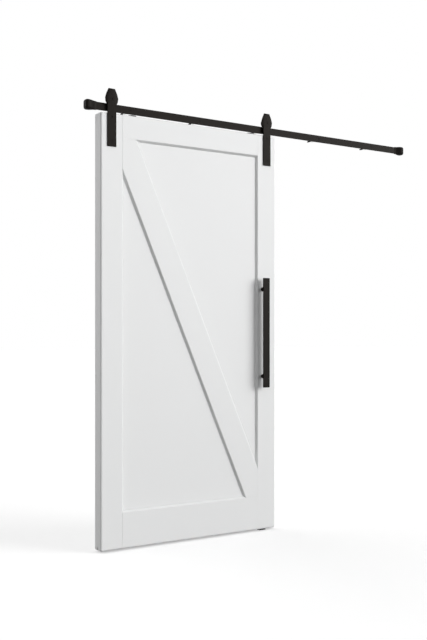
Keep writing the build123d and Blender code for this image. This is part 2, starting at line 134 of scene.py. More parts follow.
# Floor and lights, with lengths in metres
SUN_REACH = 5.0  # how far off the far lights are drawn
FLOOR_REACH = 60.0
FLOOR_GAP = 0.001  # below the floor guide's underside
FLOOR_BOUNCE = (0.12, 0.12, 0.12)  # the floor's colour for light on its way elsewhere
FLOOR_SEEN = (0.8, 0.8, 0.8)  # its colour to the camera
FLOOR_GLOW = 0.385  # lifts the lit floor to the white of the backdrop
WHITE = (1, 1, 1)

ACROSS = Vector((1, 0, 0))
TO_WALL = Vector((0, 1, 0))
TO_ROOM = Vector((0, -1, 0))
UP = Vector((0, 0, 1))


# Sizes and colours that a user would change


class DoorPaint(bpy.types.PropertyGroup):
    """The white paint of the leaf."""

    colour: bpy.props.FloatVectorProperty(
        name="Paint",
        description="Colour of the satin white paint",
        subtype="COLOR",
        default=(0.842, 0.848, 0.848),
        min=0.0,
        max=1.0,
    )
    roughness: bpy.props.FloatProperty(
        name="Sheen",
        description="Roughness of the paint, between gloss and chalk",
        default=0.46,
        min=0.0,
        max=1.0,
        subtype="FACTOR",
    )
    stroke: bpy.props.FloatProperty(
        name="Stroke depth",
        description="Depth of the brush strokes in the paint",
        default=0.00006,
        min=0.0,
        max=0.001,
        precision=5,
        unit="LENGTH",
    )
    edge: bpy.props.FloatProperty(
        name="Painted edges",
        description="How far the painted edges of the leaf look rounded",
        default=0.0025,
        min=0.0,
        max=0.01,
        precision=4,
        unit="LENGTH",
    )


class DoorMetal(bpy.types.PropertyGroup):
    """The metal and plastic of the hardware."""

    coat: bpy.props.FloatVectorProperty(
        name="Powder coat",
        description="Colour of the dark bronze powder coat",
        subtype="COLOR",
        default=(0.0062, 0.0050, 0.0044),
        min=0.0,
        max=1.0,
    )
    coat_roughness: bpy.props.FloatProperty(
        name="Coat roughness",
        description="Roughness of the powder coat",
        default=0.5,
        min=0.0,
        max=1.0,
        subtype="FACTOR",
    )
    nylon: bpy.props.FloatVectorProperty(
        name="Nylon",
        description="Colour of the turned nylon of the wheels and discs",
        subtype="COLOR",
        default=(0.016, 0.016, 0.017),
        min=0.0,
        max=1.0,
    )
    zinc: bpy.props.FloatVectorProperty(
        name="Zinc",
        description="Colour of the bright zinc plating",
        subtype="COLOR",
        default=(0.62, 0.62, 0.60),
        min=0.0,
        max=1.0,
    )


class DoorHardware(bpy.types.PropertyGroup):
    """Details of the hardware that the frame leaves plain."""

    lag_pitch: bpy.props.FloatProperty(
        name="Lag thread pitch",
        description="Pitch of the coarse thread on the lag bolts",
        default=0.0032,
        unit="LENGTH",
        precision=4,
    )
    lag_depth: bpy.props.FloatProperty(
        name="Lag thread depth",
        description="Depth of the lag bolts' thread",
        default=0.0010,
        unit="LENGTH",
        precision=4,
    )
    axle_pitch: bpy.props.FloatProperty(
        name="Axle thread pitch",
        description="Pitch of the fine thread at the end of each axle",
        default=0.0015,
        unit="LENGTH",
        precision=4,
    )
    axle_depth: bpy.props.FloatProperty(
        name="Axle thread depth",
        description="Depth of the axles' thread",
        default=0.0007,
        unit="LENGTH",
        precision=4,
    )
    metal_edge: bpy.props.FloatProperty(
        name="Metal edges",
        description="How far the edges of metal and nylon are rounded",
        default=0.0005,
        unit="LENGTH",
        precision=4,
    )


class DoorStage(bpy.types.PropertyGroup):
    """Camera, floor and light."""

    camera_place: bpy.props.FloatVectorProperty(
        name="Camera",
        description="Where the camera stands",
        default=(-3.1425, -4.214, -1.110),
        subtype="TRANSLATION",
        unit="LENGTH",
    )
    camera_turn: bpy.props.FloatProperty(
        name="Camera turn",
        description="How far the camera looks to the right of straight at the wall",
        default=math.radians(34.26),
        subtype="ANGLE",
    )
    lens: bpy.props.FloatProperty(
        name="Lens",
        description="Focal length for a 36 mm long side",
        default=53.89,
        unit="CAMERA",
    )
    horizon_drop: bpy.props.FloatProperty(
        name="Horizon",
        description="How far the horizon lies below the picture's middle, as a share of its long side",
        default=0.0234,
        precision=4,
    )
    sun: bpy.props.FloatProperty(
        name="Main light",
        description="Strength of the broad light from the right",
        default=3.25,
    )
    sun_turn: bpy.props.FloatProperty(
        name="Main light turn",
        description="How far to the right of straight in front the main light stands",
        default=math.radians(43),
        subtype="ANGLE",
    )
    sun_rise: bpy.props.FloatProperty(
        name="Main light rise",
        description="How far above level the main light stands",
        default=math.radians(8),
        subtype="ANGLE",
    )
    sun_spread: bpy.props.FloatProperty(
        name="Main light spread",
        description="How wide the main light looks from the door",
        default=math.radians(45),
        subtype="ANGLE",
    )
    back: bpy.props.FloatProperty(
        name="Back light",
        description="Strength of the very broad light from behind, on the left",
        default=1.3,
    )
    back_turn: bpy.props.FloatProperty(
        name="Back light turn",
        description="How far to the right of straight in front the back light stands",
        default=math.radians(-150),
        subtype="ANGLE",
    )
    back_rise: bpy.props.FloatProperty(
        name="Back light rise",
        description="How far above level the back light stands",
        default=math.radians(22),
        subtype="ANGLE",
    )
    back_spread: bpy.props.FloatProperty(
        name="Back light spread",
        description="How wide the back light looks from the door",
        default=math.radians(90),
        subtype="ANGLE",
    )
    sky: bpy.props.FloatProperty(
        name="Sky",
        description="Strength of the even light from all round",
        default=0.45,
    )


# Shader maths


class Value:
    """One output of a node, for use in plain arithmetic."""

    def __init__(self, nodes, socket):
        self.nodes = nodes
        self.socket = socket

    def calc(self, operation, *values):
        sockets = dict(enumerate(values))
        return self.nodes.add("ShaderNodeMath", sockets, operation=operation)

    def __add__(self, other):
        return self.calc("ADD", self, other)

    def __radd__(self, other):
        return self.calc("ADD", other, self)

    def __sub__(self, other):
        return self.calc("SUBTRACT", self, other)

    def __rsub__(self, other):
        return self.calc("SUBTRACT", other, self)

    def __mul__(self, other):
        return self.calc("MULTIPLY", self, other)

    def __rmul__(self, other):
        return self.calc("MULTIPLY", other, self)


class Nodes:
    """A node tree that is built node by node."""

    def __init__(self, tree):
        self.tree = tree
        self.tree.nodes.clear()

    def add(self, kind, sockets=None, out=0, **settings):
        """Adds a node: its settings first, then the values and links of its sockets."""
        node = self.tree.nodes.new(kind)
        for name, setting in settings.items():
            setattr(node, name, setting)
        for name, value in (sockets or {}).items():
            self.plug(node.inputs[name], value)
        return Value(self, node.outputs[out]) if node.outputs else None

    def plug(self, socket, value):
        """Gives a socket a link or a constant."""
        if isinstance(value, Value):
            self.tree.links.new(value.socket, socket)
            return
        if socket.type == "RGBA" and len(value) == 3:
            value = (*value, 1)
        socket.default_value = value

    def seen_directly(self):
        """1 for what is seen straight on, mirrored or through glass, and 0 for light on its way elsewhere."""
        kinds = ("Camera", "Glossy", "Transmission")
        camera, gloss, glass = (self.add("ShaderNodeLightPath", out=f"Is {kind} Ray") for kind in kinds)
        return camera.calc("MAXIMUM", camera, gloss.calc("MAXIMUM", gloss, glass))


class Finish(Nodes):
    """A material on the piece's own coordinates."""

    def __init__(self, name):
        self.material = bpy.data.materials.new(name)
        self.material.use_nodes = True
        super().__init__(self.material.node_tree)
        self.place = self.add("ShaderNodeTexCoord", out="Object")

    def surface(self, sockets):
        """Adds the main shader with its sockets."""
        shader = self.add("ShaderNodeBsdfPrincipled", sockets)
        self.add("ShaderNodeOutputMaterial", {"Surface": shader})

    def noise(self, scale, detail=2.0, stretch=(1, 1, 1), turn=(0, 0, 0)):
        """Soft noise in the piece's own place, with its scale in waves per metre."""
        sockets = {"Vector": self.place, "Rotation": turn, "Scale": stretch}
        spot = self.add("ShaderNodeMapping", sockets, vector_type="POINT")
        return self.add("ShaderNodeTexNoise", {"Vector": spot, "Scale": scale, "Detail": detail}, out="Fac")

    def tint(self, factor, first, second):
        """A colour between two, by a factor."""
        sockets = {0: factor, 6: first, 7: second}
        return self.add("ShaderNodeMix", sockets, out=2, data_type="RGBA")

    def bump(self, height, depth, edge=0.0):
        """A bumped normal from a height of 0 to 1 and its depth in metres, over edges rounded by a radius."""
        sockets = {"Height": height, "Distance": depth}
        if edge > 0:
            sockets["Normal"] = self.add("ShaderNodeBevel", {"Radius": edge}, samples=EDGE_SAMPLES)
        return self.add("ShaderNodeBump", sockets, out="Normal")


def scaled(colour, factor):
    """A colour made darker or lighter by a factor."""
    return tuple(min(1.0, part * factor) for part in colour)


def paint(grain):
    """Satin white paint, with fine brush strokes along the grain and a faint unevenness."""
    wish = bpy.context.scene.door_paint
    finish = Finish(f"white_paint_{grain}")
    low, high = frame_opening()
    brace_turn = math.atan2(high.x - low.x, high.z - low.z)
    turns = {"upright": (0, 0, 0), "across": (0, math.pi / 2, 0), "brace": (0, brace_turn, 0)}
    strokes = finish.noise(60, 4, stretch=(6, 6, 0.25), turn=turns[grain])
    peel = finish.noise(420, 1)
    cloud = finish.noise(1.4, 3)
    worn = finish.noise(16, 3)
    colour = finish.tint(cloud, scaled(wish.colour, 0.985), scaled(wish.colour, 1.012))
    finish.surface({
        "Base Color": colour,
        "Roughness": wish.roughness - 0.04 + 0.08 * worn,
        "IOR": 1.47,
        "Normal": finish.bump(0.75 * strokes + 0.25 * peel, wish.stroke, wish.edge),
    })
    return finish.material


def powder_coat():
    """Dark bronze powder coat: a fine leathery bump and a slight drift of tone."""
    wish = bpy.context.scene.door_metal
    finish = Finish("dark_bronze_coat")
    grit = finish.noise(1500, 2)
    leather = finish.noise(420, 2)
    drift = finish.noise(7, 3)
    colour = finish.tint(drift, scaled(wish.coat, 0.86), scaled(wish.coat, 1.16))
    finish.surface({
        "Base Color": colour,
        "Roughness": wish.coat_roughness - 0.05 + 0.10 * leather,
        "IOR": 1.5,
        "Specular IOR Level": 0.075,
        "Specular Tint": (1.0, 0.92, 0.84),
        "Normal": finish.bump(0.6 * leather + 0.4 * grit, 0.00006),
    })
    return finish.material


def turned_nylon(node):
    """Black nylon with the fine rings that turning leaves round the piece's own axis."""
    wish = bpy.context.scene.door_metal
    finish = Finish(f"{node}_nylon")
    piece = Span(node)
    axis = "Z" if "disc" in node else "Y"
    spot = finish.add("ShaderNodeMapping", {"Vector": finish.place, "Location": -MM * piece.middle})
    rings = finish.add(
        "ShaderNodeTexWave",
        {"Vector": spot, "Scale": RING_WAVES, "Distortion": 0.4, "Detail": 1.0},
        out="Fac",
        wave_type="RINGS",
        rings_direction=axis,
    )
    scuff = finish.noise(60, 3)
    finish.surface({
        "Base Color": finish.tint(scuff, scaled(wish.nylon, 0.8), scaled(wish.nylon, 1.3)),
        "Roughness": 0.36 + 0.14 * scuff,
        "IOR": 1.53,
        "Normal": finish.bump(rings, 0.00002),
    })
    return finish.material


def bright_zinc():
    """Bright zinc plating, clouded by its crystals."""
    wish = bpy.context.scene.door_metal
    finish = Finish("bright_zinc")
    crystals = finish.noise(180, 3)
    lines = finish.noise(900, 2)
    finish.surface({
        "Base Color": finish.tint(crystals, scaled(wish.zinc, 0.9), scaled(wish.zinc, 1.08)),
        "Metallic": 1.0,
        "Roughness": 0.24 + 0.16 * crystals,
        "Normal": finish.bump(lines, 0.00001),
    })
    return finish.material


def record_slot(node):
    """The record's material slot of a node."""
    slots = {part["node"]: part["material_slot"] for part in frame["record"]["subparts"]}
    return slots[node]


def record_body(node):
    """The body that a node rides on."""
    bodies = frame["record"]["behaviour"]["bodies"]
    return next(body for body, nodes in bodies.items() if node in nodes)


def finish_for(node):
    """The material of a node, by its slot, its grain on the leaf and its centre where it is turned."""
    slot = record_slot(node)
    if slot == "white_paint":
        grain = LEAF_GRAIN[node]
        return bpy.data.materials.get(f"white_paint_{grain}") or paint(grain)
    if slot == "black_nylon":
        return bpy.data.materials.get(f"{node}_nylon") or turned_nylon(node)
    makers = {"dark_metal": ("dark_bronze_coat", powder_coat), "bright_steel": ("bright_zinc", bright_zinc)}
    name, maker = makers[slot]
    return bpy.data.materials.get(name) or maker()


def frame_opening():
    """Corners of the opening between the stiles and rails."""
    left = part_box("left_stile")[1]
    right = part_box("right_stile")[0]
    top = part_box("top_rail")[0]
    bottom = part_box("bottom_rail")[1]
    return Vector((left.x, 0, bottom.z)), Vector((right.x, 0, top.z))


# Forms


class Span:
    """Middle, size and corners of a node in the frame, in millimetres."""

    def __init__(self, node):
        low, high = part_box(node)
        self.low = Vector(low) / MM
        self.high = Vector(high) / MM
        self.middle = (self.low + self.high) / 2
        self.size = self.high - self.low


def circle(radius):
    """Outline of a round ring, by the angle round it."""
    return lambda angle: (radius * math.cos(angle), radius * math.sin(angle))


def hexagon(across):
    """Outline of a hexagon by its width across flats, sampled so that its corners are met."""
    sixth = math.pi / 3

    def outline(angle):
        off_flat = (angle + sixth / 2) % sixth - sixth / 2
        return circle(across / 2 / math.cos(off_flat))(angle)

    return outline


def cross(reach, half_arm):
    """Outline of a cross recess, by how far its arms reach and half their width."""
    quarter = math.pi / 2

    def outline(angle):
        off_arm = abs((angle + quarter / 2) % quarter - quarter / 2)
        narrow = half_arm / max(math.sin(off_arm), WELD)
        return circle(min(reach, narrow))(angle)

    return outline


def rounded(width, height, corner):
    """Outline of a rectangle with rounded corners, each quarter of the points going round one corner."""
    in_corner = ROUND // 4

    def outline(angle):
        number = round(angle / (2 * math.pi) * ROUND) % ROUND
        quarter, step = divmod(number, in_corner)
        turn = (quarter + step / (in_corner - 1)) * math.pi / 2
        side = 1 if quarter in (0, 3) else -1
        rise = 1 if quarter in (0, 1) else -1
        x = side * (width / 2 - corner) + corner * math.cos(turn)
        y = rise * (height / 2 - corner) + corner * math.sin(turn)
        return x, y

    return outline


def skinned(stations, ring=False):
    """A form skinned over outlines at levels along its own Z, closed at both ends or back on itself."""
    form = bmesh.new()
    bmesh.ops.create_circle(form, cap_ends=not ring, segments=ROUND, radius=1.0)
    first = list(form.edges)
    loop = first
    for _ in stations[1:]:
        made = bmesh.ops.extrude_edge_only(form, edges=loop)["geom"]
        verts = {part for part in made if isinstance(part, bmesh.types.BMVert)}
        bmesh.ops.translate(form, verts=list(verts), vec=(0, 0, 1))
        edges = [part for part in made if isinstance(part, bmesh.types.BMEdge)]
        loop = [edge for edge in edges if verts.issuperset(edge.verts)]
    if ring:
        bmesh.ops.bridge_loops(form, edges=first + loop)
    else:
        bmesh.ops.edgeloop_fill(form, edges=loop)
    for vert in form.verts:
        outline, level = stations[round(vert.co.z)]
        vert.co = (*outline(math.atan2(vert.co.y, vert.co.x)), level)
    bmesh.ops.recalc_face_normals(form, faces=form.faces)
    return form


def turned(profile, ring=True):
    """A form spun round its own Z from a profile of radii and levels, which is closed where it is a ring."""
    form = bmesh.new()
    points = [form.verts.new((radius, 0, level)) for radius, level in profile]
    pairs = list(zip(points, points[1:]))
    if ring:
        pairs.append((points[-1], points[0]))
    edges = [form.edges.new(pair) for pair in pairs]
    bmesh.ops.spin(
        form,
        geom=points + edges,
        cent=(0, 0, 0),
        axis=(0, 0, 1),
        dvec=(0, 0, 0),
        angle=2 * math.pi,
        steps=ROUND,
        use_merge=True,
    )
    bmesh.ops.remove_doubles(form, verts=form.verts, dist=WELD)
    bmesh.ops.recalc_face_normals(form, faces=form.faces)
    return form


def threaded(radius, depth, pitch, length, point=0.0, tip=1.0):
    """A thread down its own Z from level 0, drawn in to a share of its radius over the point at its end."""
    core = radius - depth
    form = bmesh.new()
    ridge = ((core, 0.0), (core, 0.34), (radius, 0.60), (radius, 0.72), (core, 1.0))
    points = [form.verts.new((size, 0, -share * pitch)) for size, share in ridge]
    edges = [form.edges.new(pair) for pair in zip(points, points[1:])]
    steps = round(((length + point) / pitch - 1) * THREAD_STEPS)
    bmesh.ops.spin(
        form,
        geom=points + edges,
        cent=(0, 0, 0),
        axis=(0, 0, 1),
        dvec=(0, 0, -pitch / THREAD_STEPS),
        angle=2 * math.pi * steps / THREAD_STEPS,
        steps=steps,
    )
    bmesh.ops.remove_doubles(form, verts=form.verts, dist=WELD)
    for vert in form.verts:
        past = max(0.0, -vert.co.z - length)
        if past > 0:
            share = 1 - (1 - tip) * past / point
            vert.co.x *= share
            vert.co.y *= share
    open_edges = [edge for edge in form.edges if edge.is_boundary]
    bmesh.ops.holes_fill(form, edges=open_edges, sides=0)
    bmesh.ops.recalc_face_normals(form, faces=form.faces)
    return form


def ease(form, width):
    """Rounds the outward edges of a form."""
    sharp = [edge for edge in form.edges if edge.is_manifold and edge.is_convex]
    sharp = [edge for edge in sharp if edge.calc_face_angle() > EASED]
    bmesh.ops.bevel(
        form,
        geom=sharp,
        offset=width,
        offset_type="OFFSET",
        segments=2,
        profile=0.5,
        affect="EDGES",
        clamp_overlap=True,
        material=-1,
    )
    return form


def copied(node):
    """A merged copy of a node in millimetres, with its flat faces whole again."""
    form = bmesh.new()
    form.from_mesh(frame["nodes"][node].data)
    bmesh.ops.scale(form, vec=(1 / MM, 1 / MM, 1 / MM), verts=form.verts)
    bmesh.ops.remove_doubles(form, verts=form.verts, dist=WELD)
    bmesh.ops.dissolve_limit(form, angle_limit=FLAT, verts=form.verts, edges=form.edges)
    return form


def facing(direction, place):
    """Turns a form's own Z to a direction, its own Y up or else to the room, and takes it to a place."""
    upright = TO_ROOM if abs(direction.z) > 0.5 else UP
    turn = Matrix((upright.cross(direction), upright, direction)).transposed()
    return Matrix.Translation(place) @ turn.to_4x4()


def gather(parts):
    """Joins forms into one, each taken to its place by its own matrix."""
    whole = bmesh.new()
    for form, place in parts:
        bmesh.ops.transform(form, matrix=place, verts=form.verts)
        loose = bpy.data.meshes.new("loose")
        form.to_mesh(loose)
        form.free()
        whole.from_mesh(loose)
        bpy.data.meshes.remove(loose)
    return whole


def new_object(name, form):
    """Turns a form into an object of the scene."""
    data = bpy.data.meshes.new(name)
    form.to_mesh(data)
    form.free()
    piece = bpy.data.objects.new(name, data)
    bpy.context.scene.collection.objects.link(piece)
    return piece


def settle(name, form, *nodes):
    """Makes a form the piece that stands for nodes: it rides their body, in their finish and slot."""
    bmesh.ops.scale(form, vec=(MM, MM, MM), verts=form.verts)
    piece = new_object(name, form)
    piece.data.shade_smooth()
    piece.data.set_sharp_from_angle(angle=SHARP)
    normals = piece.modifiers.new("normals", "WEIGHTED_NORMAL")
    normals.keep_sharp = True
    piece.data.materials.append(finish_for(nodes[0]))
    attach(piece, record_body(nodes[0]))
    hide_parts(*nodes)
    return piece


def carved(form, tool):
    """A form with the space of another taken out of it."""
    whole = new_object("whole", form)
    cutter = new_object("cutter", tool)
    cut = whole.modifiers.new("cut", "BOOLEAN")
    cut.operation = "DIFFERENCE"
    cut.solver = "EXACT"
    cut.object = cutter
    evaluated = whole.evaluated_get(bpy.context.evaluated_depsgraph_get())
    rest = bmesh.new()
    rest.from_mesh(evaluated.to_mesh())
    evaluated.to_mesh_clear()
    for piece in (whole, cutter):
        data = piece.data
        bpy.data.objects.remove(piece)
        bpy.data.meshes.remove(data)
    bmesh.ops.remove_doubles(rest, verts=rest.verts, dist=WELD)
    return rest


def flat_head(radius, head_radius, length, drive, drive_depth):
    """A countersunk bolt or screw down its own Z, its head's face at level 0 and its recess cut into it."""
    return skinned([
        (drive, -drive_depth),
        (drive, 0),
        (circle(head_radius - 2 * HEAD_LIP), 0),
        (circle(head_radius - HEAD_LIP), -HEAD_LIP),
        (circle(radius), radius - head_radius),
        (circle(radius), HEAD_LIP - length),
        (circle(radius - HEAD_LIP), -length),
    ])


# Operators


class BARN_OT_finishes(bpy.types.Operator):
    """Give every piece of the frame its finish"""

    bl_idname = "barn.finishes"
    bl_label = "Finishes"

    def execute(self, context):
        for name, node in frame["nodes"].items():
            node.data.materials.clear()
            node.data.materials.append(finish_for(name))
        return {"FINISHED"}


class BARN_OT_end_stops(bpy.types.Operator):
    """Form the flared stops at the ends of the track, with their set screws"""

    bl_idname = "barn.end_stops"
    bl_label = "End stops"

    def execute(self, context):
        edge = context.scene.door_hardware.metal_edge / MM
        for side, sign in SIDES.items():
            stop = Span(f"{side}_end_stop")
            screw = Span(f"{side}_stop_screw")
            outwards = sign * ACROSS
            mouth = stop.middle - outwards * stop.size.x / 2
            form = gather([(flared_stop(stop), facing(outwards, mouth))])
            radius = screw.size.x / 2
            bore = skinned([(circle(radius + PLAY), -1), (circle(radius + PLAY), stop.size.y)])
            tool = gather([(bore, facing(TO_WALL, Vector((screw.middle.x, screw.low.y, screw.middle.z))))])
            settle(f"{side}_flared_stop", carved(form, tool), f"{side}_end_stop")
            seat = Vector((screw.middle.x, screw.high.y, screw.middle.z))
            grub = skinned([
                (hexagon(GRUB_KEY), -GRUB_KEY_DEPTH),
                (hexagon(GRUB_KEY), 0),
                (circle(radius - edge), 0),
                (circle(radius), -edge),
                (circle(radius), 2 * edge - screw.size.y),
                (circle(radius - 2 * edge), -screw.size.y),
            ])
            settle(f"{side}_grub_screw", gather([(grub, facing(TO_WALL, seat))]), f"{side}_stop_screw")
        return {"FINISHED"}


def flared_stop(stop):
    """A stop along its own Z: a thin mouth with the track's pocket flares out to a soft-cornered block."""
    track = Span("track")
    pocket = rounded(track.size.y + 2 * TRACK_PLAY, track.size.z + 2 * TRACK_PLAY, TRACK_PLAY)
    pocket_depth = track.size.x / 2 - (abs(stop.middle.x) - stop.size.x / 2)
    mouth = (track.size.y + 2 * STOP_MOUTH_WALL, track.size.z + 2 * STOP_MOUTH_WALL, STOP_MOUTH_WALL / 2)
    block = (stop.size.y, stop.size.z, STOP_CORNER)
    stations = [(pocket, pocket_depth), (pocket, 0)]
    for step in range(FLARE_STEPS + 1):
        along = step / FLARE_STEPS
        share = along * along * (3 - 2 * along)
        sizes = [low + (high - low) * share for low, high in zip(mouth, block)]
        stations.append((rounded(*sizes), along * STOP_FLARE))
    for step in range(NOSE_STEPS + 1):
        turn = step / NOSE_STEPS * math.pi / 2
        inset = STOP_NOSE * (1 - math.cos(turn))
        outline = rounded(block[0] - 2 * inset, block[1] - 2 * inset, block[2] - inset)
        stations.append((outline, stop.size.x - STOP_NOSE * (1 - math.sin(turn))))
    return skinned(stations)


def along_track():
    """Places of the fixings, from the spacers behind the track."""
    spacers = [node for node in frame["nodes"] if node.startswith("wall_spacer")]
    return [Span(node).middle.x for node in sorted(spacers)]


class BARN_OT_fixings(bpy.types.Operator):
    """Turn the spacers and washers, and thread the lag bolts"""

    bl_idname = "barn.fixings"
    bl_label = "Track fixings"

    def execute(self, context):
        wish = context.scene.door_hardware
        edge = wish.metal_edge / MM
        bolts = Span("lag_bolts")
        washers = Span("lag_washers")
        head = bolts.size.z / 2
        pitch = wish.lag_pitch / MM
        depth = wish.lag_depth / MM
        length = bolts.high.y + pitch - LAG_POINT
        bore = LAG_SHANK + RING_PLAY
        lags = []
        rings = []
        for x in along_track():
            seat = Vector((x, bolts.low.y, 0))
            shank = flat_head(LAG_SHANK, head, -bolts.low.y, hexagon(BOLT_KEY), LAG_KEY_DEPTH)
            lags.append((shank, facing(TO_ROOM, seat)))
            screw = threaded(LAG_THREAD, depth, pitch, length, LAG_POINT, LAG_TIP)
            lags.append((screw, facing(TO_ROOM, Vector((x, -pitch, 0)))))
            washer = ease(turned(tube(bore, washers.size.z / 2, washers.size.y)), edge)
            rings.append((washer, facing(TO_WALL, Vector((x, washers.low.y, 0)))))
        settle("threaded_lags", gather(lags), "lag_bolts")
        settle("track_washers", gather(rings), "lag_washers")
        for number, x in enumerate(along_track(), start=1):
            spacer = Span(f"wall_spacer_{number}")
            form = ease(turned(tube(bore, spacer.size.x / 2, spacer.size.y)), 2 * edge)
            place = facing(TO_WALL, Vector((x, spacer.low.y, 0)))
            settle(f"turned_spacer_{number}", gather([(form, place)]), f"wall_spacer_{number}")
        return {"FINISHED"}


def tube(inner, outer, length):
    """Profile of a plain ring from level 0 up."""
    return [(inner, 0), (outer, 0), (outer, length), (inner, length)]


class BARN_OT_hangers(bpy.types.Operator):
    """Ease the hangers, and make their bolts, nuts, sleeves and washers"""

    bl_idname = "barn.hangers"
    bl_label = "Hangers"

    def execute(self, context):
        wish = context.scene.door_hardware
        edge = wish.metal_edge / MM
        for side in SIDES:
            settle(f"{side}_spade_strap", ease(copied(f"{side}_hanger_strap"), edge), f"{side}_hanger_strap")
            strap_fasteners(side, edge)
            axle_parts(side, wish)
        return {"FINISHED"}


def strap_fasteners(side, edge):
    """The strap's two bolts, and their barrel nuts and washers at the back of the leaf."""
    bolts = Span(f"{side}_strap_bolts")
    nuts = Span(f"{side}_barrel_nuts")
    washers = Span(f"{side}_strap_washers")
    head = bolts.size.x / 2
    nut_head = nuts.size.x / 2
    x = bolts.middle.x
    levels = (bolts.low.z + head, bolts.high.z - head)
    seat = washers.high.y
    reach = seat - nuts.low.y
    rise = nuts.high.y - seat
    screws = []
    barrels = []
    rings = []
    for level in levels:
        screw = flat_head(STRAP_BOLT, head, bolts.size.y, hexagon(BOLT_KEY), STRAP_KEY_DEPTH)
        screws.append((screw, facing(TO_ROOM, Vector((x, bolts.low.y, level)))))
        barrel = skinned([
            (hexagon(BOLT_KEY), rise - BARREL_KEY_DEPTH),
            (hexagon(BOLT_KEY), rise),
            (circle(nut_head - 2.5 * edge), rise),
            (circle(nut_head - edge), rise - 0.6 * edge),
            (circle(nut_head), rise - 2 * edge),
            (circle(nut_head), 0),
            (circle(BARREL), 0),
            (circle(BARREL), edge - reach),
            (circle(BARREL - edge), -reach),
            (circle(STRAP_BOLT + PLAY), -reach),
            (circle(STRAP_BOLT + PLAY), BARREL_BORE - reach),
        ])
        barrels.append((barrel, facing(TO_WALL, Vector((x, seat, level)))))
        ring = ease(turned(tube(BARREL + RING_PLAY, washers.size.x / 2, washers.size.y)), edge)
        rings.append((ring, facing(TO_WALL, Vector((x, washers.low.y, level)))))
    settle(f"{side}_socket_bolts", gather(screws), f"{side}_strap_bolts")
    settle(f"{side}_barrels", gather(barrels), f"{side}_barrel_nuts")
    settle(f"{side}_barrel_washers", gather(rings), f"{side}_strap_washers")


def axle_parts(side, wish):
    """The axle bolt with its fine thread, its lock nut, and the sleeve and spacer on it."""
    edge = wish.metal_edge / MM
    bolt = Span(f"{side}_axle_bolt")
    nut = Span(f"{side}_axle_nut")
    x = bolt.middle.x
    z = bolt.middle.z
    head = bolt.size.z / 2
    bore = AXLE + PLAY
    pitch = wish.axle_pitch / MM
    depth = wish.axle_depth / MM
    thread_start = nut.low.y - bolt.low.y + 1
    length = bolt.size.y - thread_start + pitch - AXLE_POINT
    plain = flat_head(AXLE, head, thread_start, hexagon(AXLE_KEY), AXLE_KEY_DEPTH)
    thread = threaded(AXLE, depth, pitch, length, AXLE_POINT, AXLE_TIP)
    room = facing(TO_ROOM, Vector((x, bolt.low.y, z)))
    behind = facing(TO_ROOM, Vector((x, bolt.low.y + thread_start - pitch, z)))
    settle(f"{side}_threaded_axle", gather([(plain, room), (thread, behind)]), f"{side}_axle_bolt")

    half = nut.size.z / 2
    collar = nut.size.y - NUT_COLLAR
    lock_nut = skinned([
        (circle(bore), 0),
        (circle(half - 0.4), 0),
        (hexagon(nut.size.z), NUT_CHAMFER),
        (hexagon(nut.size.z), collar - NUT_CHAMFER),
        (circle(half - 0.5), collar),
        (circle(half - 1.2), collar + 0.2),
        (circle(half - 1.6), nut.size.y - 0.8),
        (circle(half - 2.4), nut.size.y),
        (circle(bore + 0.4), nut.size.y),
        (circle(bore), nut.size.y - 0.4),
    ], ring=True)
    nut_place = facing(TO_WALL, Vector((x, nut.low.y, z)))
    settle(f"{side}_lock_nut", gather([(lock_nut, nut_place)]), f"{side}_axle_nut")

    for name in ("axle_sleeve", "axle_spacer"):
        node = f"{side}_{name}"
        span = Span(node)
        form = ease(turned(tube(bore, span.size.x / 2, span.size.y)), edge)
        settle(f"{node}_turned", gather([(form, facing(TO_WALL, Vector((x, span.low.y, z))))]), node)


class BARN_OT_wheels(bpy.types.Operator):
    """Turn the grooved wheels and their sealed bearings"""

    bl_idname = "barn.wheels"
    bl_label = "Wheels"

    def execute(self, context):
        edge = context.scene.door_hardware.metal_edge / MM
        for side in SIDES:
            wheel = Span(f"{side}_wheel")
            bearing = Span(f"{side}_bearing_outer_ring")
            place = facing(TO_ROOM, wheel.middle)
            form = ease(turned(wheel_profile(wheel, bearing)), edge)
            settle(f"{side}_grooved_wheel", gather([(form, place)]), f"{side}_wheel")
            outer = bearing.size.x / 2
            half = bearing.size.y / 2
            inner = Span(f"{side}_bearing_inner_ring").size.x / 2
            bore = AXLE + PLAY
            for name, low, high in (("outer", outer - RACE, outer), ("inner", bore, inner)):
                ring = ease(turned([(low, -half), (high, -half), (high, half), (low, half)]), edge / 2)
                node = f"{side}_bearing_{name}_ring"
                settle(f"{side}_{name}_race", gather([(ring, place)]), node)
            shields = Span(f"{side}_bearing_shields")
            seal = shield_profile(outer - RACE, inner + SHIELD_PLAY)
            front = facing(TO_ROOM, Vector((wheel.middle.x, shields.low.y, wheel.middle.z)))
            back = facing(TO_WALL, Vector((wheel.middle.x, shields.high.y, wheel.middle.z)))
            pair = gather([(turned(seal), front), (turned(seal), back)])
            settle(f"{side}_pressed_shields", pair, f"{side}_bearing_shields")
        return {"FINISHED"}


